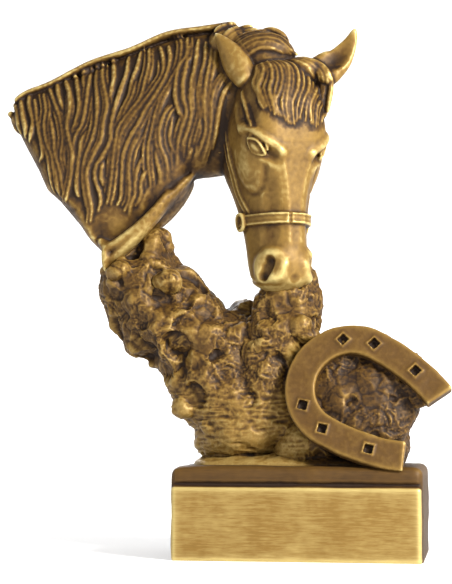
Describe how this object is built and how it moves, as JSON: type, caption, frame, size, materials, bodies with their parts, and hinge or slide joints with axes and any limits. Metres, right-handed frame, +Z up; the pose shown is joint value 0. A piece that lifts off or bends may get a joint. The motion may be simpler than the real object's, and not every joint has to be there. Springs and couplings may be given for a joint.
{
  "type": "horse trophy",
  "caption": "Cast resin equestrian award: a bowed horse head with a combed mane on a forked rock, a leaning horseshoe and a rectangular plinth with a blank tablet.",
  "frame": {"origin": "centre of the plinth's flat underside", "axes": "+Z up, -Y out of the tablet on the plinth's front, +X to the viewer's right of the tablet"},
  "size_m": [0.126, 0.045, 0.1509],
  "materials": {
    "antique_gold_resin": "antique gold paint, worn to brown in the recesses"
  },
  "bodies": {
    "root": {"horse_trophy": "antique_gold_resin"}
  },
  "joints": []
}
